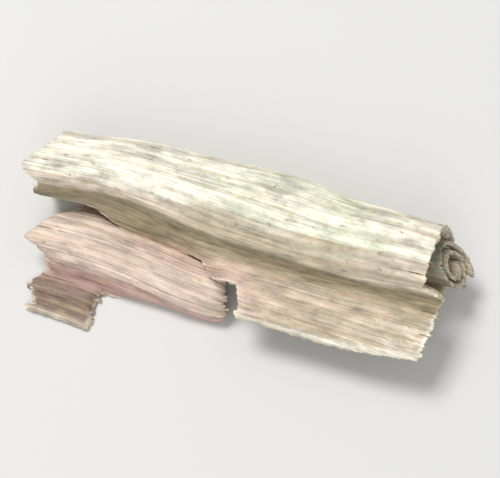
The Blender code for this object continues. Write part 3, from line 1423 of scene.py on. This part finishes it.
def past(line: float, first: float, last: float) -> Span:
    """A span given from a line across the sheet."""
    return line + first, line + last


@dataclass(frozen=True)
class DryLeaf:
    """The finish that all the sheaths share: veins, streaks, stains, specks, pale fibrous borders, painted
    groove shade.
    """

    name: str
    fibre: Colour = (0.80, 0.74, 0.56)
    speck: Colour = (0.27, 0.18, 0.10)
    # The brown of the stains, also laid as painted shade in the grooves between ribs
    stain_and_shade: Colour = (0.46, 0.34, 0.20)
    inside: Colour = (0.50, 0.43, 0.30)
    inside_share: float = 0.7
    # groove_share and groove_full set the painted shade in the grooves between ribs
    groove_share: float = 0.35
    groove_full: Span = (0.35, 1.0)
    stain_share: float = 0.45
    fibre_share: float = 0.75
    border: Span = (0.55, 1.0)
    vein_share: float = 0.35
    vein_end: Span = (0.5, 0.56)
    vein_depth: float = 0.014
    mark_share: float = 0.4
    speck_share: float = 0.55
    pit: Span = (0.6, 0.75)
    pit_depth: float = 0.012
    roughness: float = 0.52
    rough_streaks: float = 0.14
    rough_border: float = 0.15
    specular: float = 0.42
    contrast: float = 1.0
    sides_apart: float = 7.0

    def ground(self, graph: Graph, at: Place) -> Signal:
        """The sheath's own colours before veins and stains."""
        raise NotImplementedError

    def build(self) -> bpy.types.Material:
        """Makes the material.

        The light is 1 plus each pattern's own light times how far its noise is from a half.

        Returns:
            The material.
        """
        graph = Graph(self.name)
        x, v, _ = graph.parts("grain")
        edge, groove, hollow = graph.parts("marks")
        at = Place(x, v, edge)
        seen = {pattern: graph.cloud(pattern.value, at, hollow * self.sides_apart) for pattern in Pattern}

        def strong(pattern: Pattern) -> Signal:
            """Where a pattern counts."""
            return seen[pattern].rise(*pattern.value.full)

        line = strong(Pattern.VEINS) * (1.0 - seen[Pattern.VEINS].rise(*self.vein_end))
        coats = (
            # Back faces take the inside colour; on the cream sheath this is painted shade
            (self.inside, hollow * self.inside_share),
            (self.stain_and_shade, strong(Pattern.PATCHES) * strong(Pattern.STREAKS) * self.stain_share),
            # Painted shade: the grooves between ribs are darkened
            (self.stain_and_shade, groove.rise(*self.groove_full) * self.groove_share),
            (self.fibre, edge.rise(*self.border) * strong(Pattern.STRIAE) * self.fibre_share),
            (self.stain_and_shade, line * strong(Pattern.MOTTLE) * self.vein_share),
            (self.stain_and_shade, strong(Pattern.MARKS) * self.mark_share),
            (self.speck, strong(Pattern.FLECKS) * self.speck_share),
        )
        colour = self.ground(graph, at)
        for coat, mask in coats:
            colour = graph.mix(colour, coat, mask)
        light, height = 1.0, line * -self.vein_depth - seen[Pattern.FLECKS].rise(*self.pit) * self.pit_depth
        for pattern, noise in seen.items():
            if pattern.value.light:
                light = (noise - 0.5) * (pattern.value.light * self.contrast) + light
            if pattern.value.height:
                height = noise * pattern.value.height + height
        graph.feed(graph.shader.inputs["Base Color"], graph.shade(colour, light))
        rough = self.roughness + seen[Pattern.STREAKS] * self.rough_streaks + edge * self.rough_border
        graph.feed(graph.shader.inputs["Roughness"], rough)
        bump = graph.node("Bump", {}, {"Strength": 1.0, "Distance": MM, "Height": height})
        graph.feed(graph.shader.inputs["Normal"], bump)
        graph.shader.inputs["Specular IOR Level"].default_value = self.specular
        return graph.material


@dataclass(frozen=True)
class CreamLeaf(DryLeaf):
    """The middle sheath: cream and pale green on the tube, brown painted shade on its near side and in the
    valley, tan on the wing.
    """

    contrast: float = 1.3
    cream: Colour = (0.87, 0.84, 0.715)
    green: Colour = (0.71, 0.765, 0.585)
    blush: Colour = (0.80, 0.70, 0.60)
    # The cream sheath's back faces are painted dark brown: painted shade inside the tube and under the wing
    inside: Colour = (0.33, 0.27, 0.18)
    # side and beige: a browner tint on the tube's near side, with painted shade where that side faces away
    # from the light
    side: Colour = (0.75, 0.645, 0.53)
    beige: Colour = (0.50, 0.44, 0.33)
    # The valley colour is painted shade: in the crease between tube and wing, and on the tucked margin under
    # the tube's side
    valley: Colour = (0.31, 0.26, 0.165)
    olive: Colour = (0.40, 0.35, 0.225)
    tan: Colour = (0.58, 0.485, 0.36)
    rosy: Colour = (0.60, 0.44, 0.37)
    pinkish: Colour = (0.68, 0.49, 0.425)
    greening: Cloud = Cloud(0.3, 1.4, 50.0, full=(0.32, 0.6))
    blushing: Cloud = Cloud(0.5, 1.1, 55.0, full=(0.4, 0.6))
    flecked: Cloud = Cloud(1.3, 2.8, 90.0, full=(0.44, 0.6))
    straying: Cloud = Cloud(0.5, 0.3, 40.0)
    stray: float = 0.5
    ahead: float = 0.05
    # lowered moves where the near side's band of tint and painted shade starts
    lowered: tuple[tuple[Span, float], ...] = (((-4.5, -1.5), 0.36), ((1.5, 4.0), 0.15))

    def ground(self, graph: Graph, at: Place) -> Signal:
        """Bands across the sheet, each worked out from the cross-section's own lengths.

        The bands stray a little, and the side's band starts earlier, by ahead and by the lowered steps.

        Args:
            graph: The material's nodes.
            at: The place on the sheet.

        Returns:
            The colour.
        """
        tube = length_of(TUBE)
        margin = tube + VALLEY.length + WING.length + MiddleSheath.wing_more
        turn = tube - TUBE[-1].length - TUBE[-2].length
        astray = replace(at, v=at.v + (graph.cloud(self.straying, at) - 0.5) * self.stray)
        lowered = astray.v + self.ahead
        for span, more in self.lowered:
            lowered = lowered + at.x.rise(*span) * more
        # The near side's band: a browner tint with painted shade, darker with beige from x = -1.5 mm on
        side = (
            Coat(self.beige, comes=(-4.0, -1.5)),
            Coat(self.side, 0.6, comes=(4.0, 6.5)),
        )
        wing = (
            Coat(self.cream, 0.75, comes=(3.5, 8.5), starts=past(margin, -2.4, -0.4), clouds=(self.flecked,)),
            # Pale rim on the wing: paler cut fibres, brightened further as a painted highlight
            Coat(self.cream, 0.95, rim=(0.08, 0.35)),
            Coat(self.rosy, 0.5, goes=(0.5, 3.5)),
        )
        tube_coats = (
            Coat(self.green, 0.85, comes=(-5.0, 2.0), goes=(5.0, 9.0), clouds=(self.greening,)),
            Coat(self.blush, 0.6, comes=(3.5, 8.0), clouds=(self.blushing,)),
            # Painted shade on the tucked margin under the tube's side
            Coat(self.valley, stops=(1.9, 2.9)),
        )
        flank = Coat(graph.painted(self.side, at, side), 0.95, starts=past(turn, 0.27, 0.57))
        middle, inner = past(tube, 0.7, 2.0), past(tube, 2.6, 3.6)
        beyond = (
            Coat(self.olive, 0.8, comes=(-6.0, -5.0), goes=(-4.0, -2.0), starts=past(turn, 0.5, 0.9)),
            # Painted shade in the crease between the tube and the wing
            Coat(self.valley, 0.95, starts=past(tube, -0.35, 0.1)),
            Coat(graph.painted(self.tan, at, wing), comes=(-1.2, -0.2), starts=past(tube, 0.7, 1.6)),
            Coat(self.pinkish, 0.8, comes=(-3.4, -2.2), goes=(0.0, 2.2), starts=middle, stops=inner),
        )
        colour = graph.painted(self.cream, at, tube_coats)
        colour = graph.painted(colour, replace(at, v=lowered), (flank,))
        return graph.painted(colour, astray, beyond)


@dataclass(frozen=True)
class PinkLeaf(DryLeaf):
    """The outer sheath: a dusty pink flap with streaks and painted light and shade, tan under the tube, and a
    dull strip.
    """

    pink: Colour = (0.61, 0.445, 0.385)
    # pale and blush are the flap's own streaks, and also its painted light, highlight and shade
    pale: Colour = (0.76, 0.63, 0.535)
    blush: Colour = (0.50, 0.30, 0.275)
    tan: Colour = (0.46, 0.35, 0.26)
    dull: Colour = (0.21, 0.15, 0.115)
    pale_streaks: Cloud = Cloud(0.2, 1.6, 60.0, 4.0, full=(0.42, 0.66))
    other_streaks: Cloud = Cloud(0.2, 1.6, 60.0, 4.0, full=(0.62, 0.4))
    blotches: Cloud = Cloud(0.5, 0.8, 70.0, 2.0, full=(0.5, 0.72))

    def ground(self, graph: Graph, at: Place) -> Signal:
        """Pink with paler and deeper streaks, which ends at the cradle and at the crease.

        Args:
            graph: The material's nodes.
            at: The place on the sheet.

        Returns:
            The colour.
        """
        cradle = length_of(OuterSheath.cradle())
        fold = cradle + length_of(OuterSheath.flap())
        top, ridge = past(cradle, 0.8, 2.0), past(fold, -2.6, -1.0)
        coats = (
            Coat(self.pale, clouds=(self.pale_streaks,)),
            Coat(self.blush, 0.7, clouds=(self.blotches, self.other_streaks)),
            Coat(self.tan, stops=past(cradle, 0.2, 1.6)),
            # Painted light: the flap's top beside the tube is lightened where the tube shades it, most at the
            # left
            Coat(self.pale, 0.7, goes=(-7.0, -3.5), left=1 / 7, starts=top, stops=ridge),
            # Painted highlight along the flap's rolled-under margin
            Coat(self.pale, 0.5, starts=past(fold, -2.6, -1.9), stops=past(fold, -1.4, -0.8)),
            # Painted shade: deeper blush on the flap's underside towards the fold
            Coat(self.blush, 0.75, starts=past(fold, -1.1, -0.2)),
            Coat(self.dull, 0.9, starts=past(fold, 0.1, 1.0)),
            # Pale rim on the strip: paler cut fibres, brightened further as a painted highlight
            Coat(self.pale, 0.8, rim=(0.12, 0.5), starts=past(fold, 1.4, 1.9)),
        )
        return graph.painted(self.pink, at, coats)


@dataclass(frozen=True)
class TanLeaf(DryLeaf):
    """The small roll: tan with greyer patches."""

    fibre: Colour = (0.60, 0.56, 0.43)
    tan: Colour = (0.25, 0.22, 0.155)
    grey: Colour = (0.33, 0.31, 0.235)
    greyer: Cloud = Cloud(0.5, 1.5, 80.0, full=(0.35, 0.65))

    def ground(self, graph: Graph, at: Place) -> Signal:
        """Tan under grey clouds."""
        return graph.painted(self.tan, at, (Coat(self.grey, clouds=(self.greyer,)),))


@dataclass(frozen=True)
class LooseFibre:
    """The finish of the loose fibres: pale straw, browner here and there."""

    name: str = "loose_fibre"
    straw: Colour = (0.74, 0.67, 0.50)
    brown: Colour = (0.45, 0.35, 0.22)
    browner: Span = (0.45, 0.75)
    scale: float = 1400.0
    roughness: Span = (0.5, 0.3)

    def build(self) -> bpy.types.Material:
        """Makes the material: noise in the piece's own coordinates mixes the two colours.

        Returns:
            The material.
        """
        graph = Graph(self.name)
        place = graph.node("TexCoord", {}, {}, "Object")
        noise = graph.node("TexNoise", {}, {"Vector": place, "Scale": self.scale, "Detail": 2.0})
        colour = graph.mix(self.straw, self.brown, noise.rise(*self.browner))
        graph.feed(graph.shader.inputs["Base Color"], colour)
        graph.feed(graph.shader.inputs["Roughness"], self.roughness[0] + noise * self.roughness[1])
        return graph.material


@dataclass(frozen=True)
class Lamp:
    """One soft square light: its place and side in metres, its power in watts, and its colour."""

    name: str
    place: Triple
    side: float
    power: float
    colour: Colour

    def build(self) -> None:
        """Makes it, pointing at the origin."""
        data = bpy.data.lights.new(self.name, "AREA")
        data.size, data.energy, data.color = self.side, self.power, self.colour
        lamp = linked(self.name, data)
        lamp.location = self.place
        lamp.rotation_euler = Vector(self.place).to_track_quat("Z", "Y").to_euler()


@dataclass(frozen=True)
class Studio:
    """A pale floor, soft lights and the camera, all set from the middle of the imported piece's box."""

    azimuth: float = 18.4
    elevation: float = 68.0
    lens: float = 100.0
    sensor: float = 36.0
    wide: int = 500
    high: int = 478
    fill: float = 0.94
    floor_size: float = 0.6
    floor: Colour = (0.70, 0.70, 0.69)
    floor_roughness: float = 0.8
    world: Colour = (1.0, 1.0, 1.0)
    world_strength: float = 0.39
    clip: Span = (0.001, 10.0)
    lamps: tuple[Lamp, ...] = (
        Lamp("key", (-0.12, 0.05, 0.26), 0.10, 0.60, (1.0, 0.99, 0.97)),
        Lamp("fill", (0.03, -0.22, 0.20), 0.20, 0.28, (0.98, 0.98, 1.0)),
    )

    def back(self) -> Vector:
        """The direction from the piece to the camera."""
        a, e = math.radians(self.azimuth), math.radians(self.elevation)
        return Vector((math.sin(a) * math.cos(e), -math.cos(a) * math.cos(e), math.sin(e)))

    def camera(self) -> None:
        """Points the camera at the middle of what it sees, as far off as the fill needs.

        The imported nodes' points are read along the camera's own right and up, so that the piece is centred.
        """
        points = [vertex.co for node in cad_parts.values() for vertex in node.data.vertices]
        turn = self.back().to_track_quat("Z", "Y")
        right, up = turn @ Vector((1, 0, 0)), turn @ Vector((0, 1, 0))
        spans = [[point.dot(axis) for point in points] for axis in (right, up)]
        middles = [(max(span) + min(span)) / 2 for span in spans]
        reach = max(max(spans[0]) - min(spans[0]), (max(spans[1]) - min(spans[1])) * self.wide / self.high)
        centre = (CAD_BOX[0] + CAD_BOX[1]) / 2
        target = centre + right * (middles[0] - centre.dot(right)) + up * (middles[1] - centre.dot(up))
        data = bpy.data.cameras.new("camera")
        data.lens, data.sensor_width = self.lens, self.sensor
        distance = reach / self.fill * self.lens / self.sensor
        data.clip_start, data.clip_end = self.clip
        eye = linked("camera", data)
        eye.location = target + self.back() * distance
        eye.rotation_euler = turn.to_euler()
        bpy.context.scene.camera = eye

    def build(self) -> None:
        """Makes the floor, the lights, the world and the camera."""
        half = self.floor_size / 2
        mesh = bpy.data.meshes.new("floor")
        corners = [(-half, -half, 0), (half, -half, 0), (half, half, 0), (-half, half, 0)]
        mesh.from_pydata(corners, [], [(0, 1, 2, 3)])
        graph = Graph("pale_floor")
        graph.feed(graph.shader.inputs["Base Color"], self.floor)
        graph.shader.inputs["Roughness"].default_value = self.floor_roughness
        mesh.materials.append(graph.material)
        linked("floor", mesh)
        for lamp in self.lamps:
            lamp.build()
        world = bpy.data.worlds.new("soft")
        world.use_nodes = True
        sky = world.node_tree.nodes["Background"]
        sky.inputs["Color"].default_value = (*self.world, 1.0)
        sky.inputs["Strength"].default_value = self.world_strength
        bpy.context.scene.world = world
        bpy.context.scene.view_settings.view_transform = "Standard"
        self.camera()


def sheaths() -> list[tuple[Sheath, DryLeaf, int]]:
    """Sets the three sheaths up.

    Returns:
        Each sheath with its finish and how many loose fibres it has.
    """
    shrivelled = Drying(left_width=0.8, left_height=0.92)
    flap = length_of(OuterSheath.cradle()) + length_of(OuterSheath.flap())
    outer = OuterSheath(
        name="outer_sheath_leaf",
        node="outer_sheath",
        slot=Slot.OUTER,
        width=flap + OuterSheath.fold_length + OuterSheath.strip_length,
        columns=300,
        rows=200,
        left=Cut(-7.5, (0.0, 0.0), 311, stray=0.14),
        right=Cut(8.2, (0.06, -0.32), 312),
        left_slits=Slits(321, every=1.25, deep=(0.4, 1.7), lift=0.06),
        right_slits=Slits(322, every=1.6, deep=(0.3, 0.8), lift=0.04),
        seed=310,
        anchored=Face.BACK,
    )
    middle = MiddleSheath(
        name="middle_sheath_leaf",
        node="middle_sheath",
        slot=Slot.MIDDLE,
        width=length_of(TUBE) + VALLEY.length + WING.length + MiddleSheath.wing_more,
        columns=290,
        rows=174,
        left=Cut(-9.5, (0.6, 0.1), 211),
        right=Cut(8.35, (0.08, -0.345), 212),
        left_slits=Slits(221, every=1.9, deep=(0.3, 1.1), lift=0.05),
        right_slits=Slits(222, every=1.7, deep=(0.3, 1.1), lift=0.05),
        seed=210,
        drop=SETTLED,
        drying=shrivelled,
    )
    inner = InnerSheath(
        name="inner_sheath_leaf",
        node="inner_sheath",
        slot=Slot.INNER,
        width=8.1,
        columns=160,
        rows=130,
        left=Cut(-8.2, (0.46, 0.1), 411),
        right=Cut(9.12, (-0.1, -1.0), 412),
        left_slits=Slits(421, every=1.6, deep=(0.3, 0.8)),
        right_slits=Slits(422, every=1.2, deep=(0.3, 0.9)),
        seed=410,
        standoff=0.1,
        wall=0.2,
        margin_wall=0.16,
        rib_height=0.03,
        drop=SETTLED,
        drying=shrivelled,
    )
    finishes = PinkLeaf("pink_leaf"), CreamLeaf("cream_leaf"), TanLeaf("tan_leaf")
    threads = 60, 60, 14
    return list(zip((outer, middle, inner), finishes, threads))


def main() -> None:
    """Builds the studio and the sheaths."""
    logging.basicConfig(level=logging.INFO, format="%(name)s %(message)s")
    Studio().build()
    straw = LooseFibre().build()
    for sheath, finish, threads in sheaths():
        sheet = sheath.sheet()
        sheath.build(sheet, finish.build())
        Fray(f"{sheath.node}_fibres", sheath.seed + THREAD_SEED, threads).build(sheet, sheath.slot, straw)


if __name__ == "__main__":
    main()
